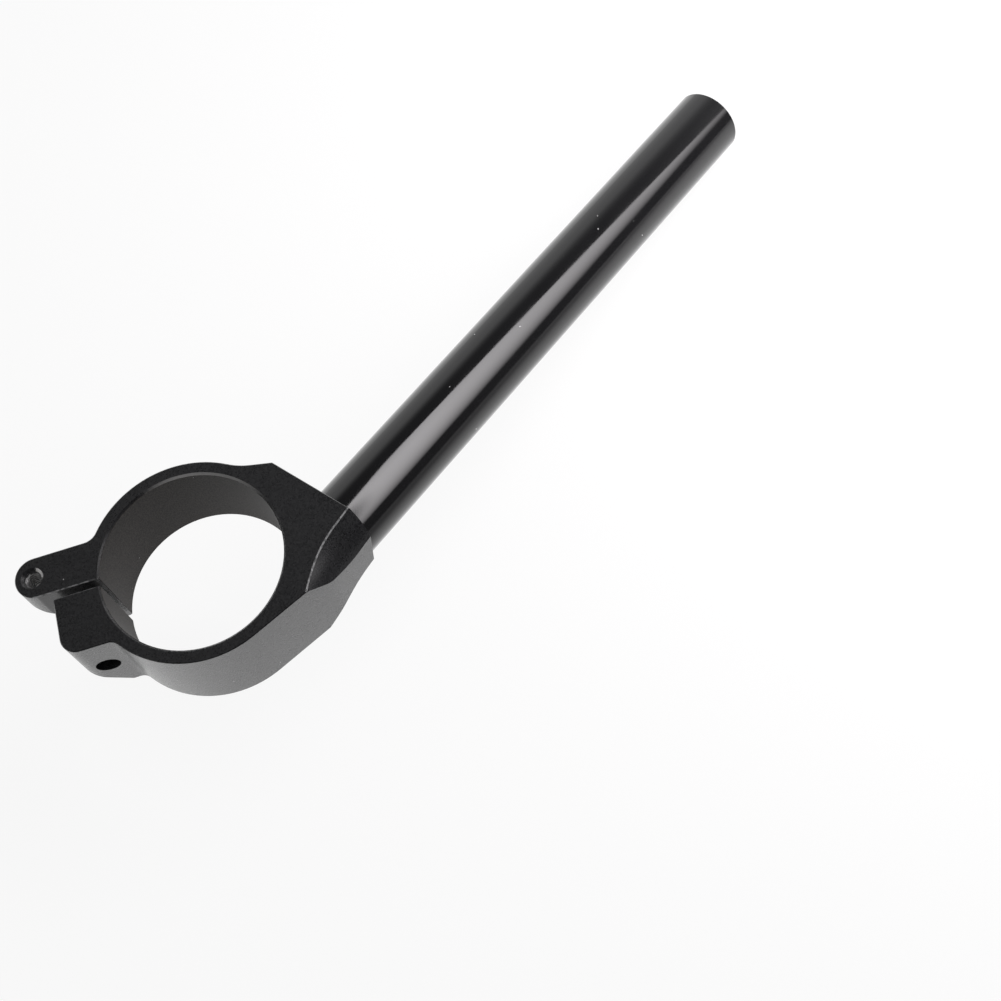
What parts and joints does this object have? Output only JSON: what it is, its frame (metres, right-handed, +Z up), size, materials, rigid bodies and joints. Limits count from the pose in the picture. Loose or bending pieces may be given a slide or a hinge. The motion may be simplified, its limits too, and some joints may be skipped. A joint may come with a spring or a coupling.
{
  "type": "clip-on handlebar",
  "caption": "Split fork clamp machined from billet with a flared boss, carrying a straight round handlebar tube that droops outward, for one side of a motorcycle.",
  "frame": {"origin": "centre of the fork bore at half the clamp's height", "axes": "+Z up the fork tube; the bar leaves along +X seen from above and droops 12 degrees; -Y is the side the bar sits on"},
  "size_m": [0.2688, 0.0763, 0.0672],
  "materials": {
    "clamp_anodised": "satin black anodised, machined",
    "bar_gloss_black": "polished black anodised"
  },
  "bodies": {
    "root": {"fork_clamp": "clamp_anodised", "handlebar_tube": "bar_gloss_black"}
  },
  "joints": []
}
